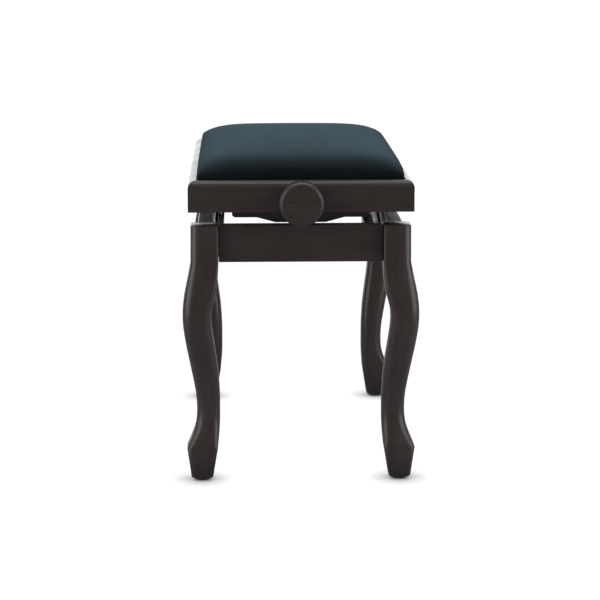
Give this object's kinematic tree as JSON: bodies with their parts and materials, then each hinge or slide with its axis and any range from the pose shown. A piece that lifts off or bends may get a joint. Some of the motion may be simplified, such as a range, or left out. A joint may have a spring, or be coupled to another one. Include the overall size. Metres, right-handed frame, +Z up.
{
  "type": "adjustable piano bench",
  "caption": "Rectangular upholstered bench on curved legs; end knobs turn a screw that raises the seat on a scissor lift.",
  "frame": {"origin": "floor level, under the centre of the bench", "axes": "+X along the bench to the player's right, +Y towards the piano, +Z up"},
  "size_m": [0.613, 0.349, 0.4903],
  "materials": {
    "dark_wood": "satin",
    "velvet": "matte",
    "foam": "matte",
    "plywood": "matte",
    "black_steel": "satin",
    "zinc_steel": "satin",
    "black_plastic": "matte"
  },
  "bodies": {
    "base": {"leg_front_right": "dark_wood", "leg_front_left": "dark_wood", "leg_back_right": "dark_wood", "leg_back_left": "dark_wood", "glide_front_right": "black_plastic", "glide_front_left": "black_plastic", "glide_back_right": "black_plastic", "glide_back_left": "black_plastic", "apron_front": "dark_wood", "apron_back": "dark_wood", "apron_right": "dark_wood", "apron_left": "dark_wood", "corner_plate_front_right": "zinc_steel", "corner_plate_front_left": "zinc_steel", "corner_plate_back_right": "zinc_steel", "corner_plate_back_left": "zinc_steel", "hanger_bolt_front_right": "zinc_steel", "hanger_bolt_front_left": "zinc_steel", "hanger_bolt_back_right": "zinc_steel", "hanger_bolt_back_left": "zinc_steel", "hex_nut_front_right": "zinc_steel", "hex_nut_front_left": "zinc_steel", "hex_nut_back_right": "zinc_steel", "hex_nut_back_left": "zinc_steel", "lower_rail_front": "zinc_steel", "lower_rail_back": "zinc_steel", "lower_pivot_shaft": "zinc_steel"},
    "seat": {"seat_rail_front": "dark_wood", "seat_rail_back": "dark_wood", "seat_rail_right": "dark_wood", "seat_rail_left": "dark_wood", "seat_board": "plywood", "seat_foam": "foam", "velvet_cover": "velvet", "upper_rail_front": "black_steel", "upper_rail_back": "black_steel", "end_plate_right": "black_steel", "end_plate_left": "black_steel", "spindle_bush_right": "black_plastic", "spindle_bush_left": "black_plastic", "upper_pivot_pin_front": "zinc_steel", "upper_pivot_pin_back": "zinc_steel"},
    "lifting_screw": {"spindle": "zinc_steel", "knob_right": "dark_wood", "knob_left": "dark_wood", "thrust_collar_right": "zinc_steel", "thrust_collar_left": "zinc_steel"},
    "outer_arms": {"outer_arm_front": "black_steel", "outer_arm_back": "black_steel", "centre_pin_front": "zinc_steel", "centre_pin_back": "zinc_steel"},
    "inner_arms": {"inner_arm_front": "black_steel", "inner_arm_back": "black_steel", "roller_shaft": "zinc_steel"},
    "crosshead": {"crosshead_nut": "zinc_steel"},
    "upper_rollers": {"upper_roller_front": "black_plastic", "upper_roller_back": "black_plastic"},
    "lower_rollers": {"lower_roller_front": "black_plastic", "lower_roller_back": "black_plastic"}
  },
  "joints": [
    {"name": "seat_lift", "type": "slide", "parent": "base", "child": "seat", "axis": [0, 0, 1], "range_m": [0, 0.08]},
    {"name": "screw_turn", "type": "hinge", "parent": "seat", "child": "lifting_screw", "pos_m": [0, 0, 0.4205], "axis": [1, 0, 0], "range_deg": [-2912.8, 0]},
    {"name": "outer_arms_fold", "type": "hinge", "parent": "base", "child": "outer_arms", "pos_m": [0.2, 0, 0.345], "axis": [0, 1, 0], "range_deg": [0, 12]},
    {"name": "inner_arms_fold", "type": "hinge", "parent": "outer_arms", "child": "inner_arms", "pos_m": [0.0036, 0, 0.38275], "axis": [0, 1, 0], "range_deg": [-24, 0]},
    {"name": "crosshead_level", "type": "hinge", "parent": "outer_arms", "child": "crosshead", "pos_m": [-0.19281, 0, 0.4205], "axis": [0, 1, 0], "range_deg": [-12, 0]},
    {"name": "upper_rollers_turn", "type": "hinge", "parent": "crosshead", "child": "upper_rollers", "pos_m": [-0.19281, 0, 0.4205], "axis": [0, 1, 0], "range_deg": [-128.8, 0]},
    {"name": "lower_rollers_turn", "type": "hinge", "parent": "inner_arms", "child": "lower_rollers", "pos_m": [-0.19281, 0, 0.345], "axis": [0, 1, 0], "range_deg": [0, 140.8]}
  ],
  "couplings": [
    {"joint": "screw_turn", "follows": "seat_lift", "rad_per_m": -635.46},
    {"joint": "outer_arms_fold", "follows": "seat_lift", "rad_per_m": 2.6173},
    {"joint": "inner_arms_fold", "follows": "seat_lift", "rad_per_m": -5.2346},
    {"joint": "crosshead_level", "follows": "seat_lift", "rad_per_m": -2.6173},
    {"joint": "upper_rollers_turn", "follows": "seat_lift", "rad_per_m": -28.093},
    {"joint": "lower_rollers_turn", "follows": "seat_lift", "rad_per_m": 30.711}
  ]
}
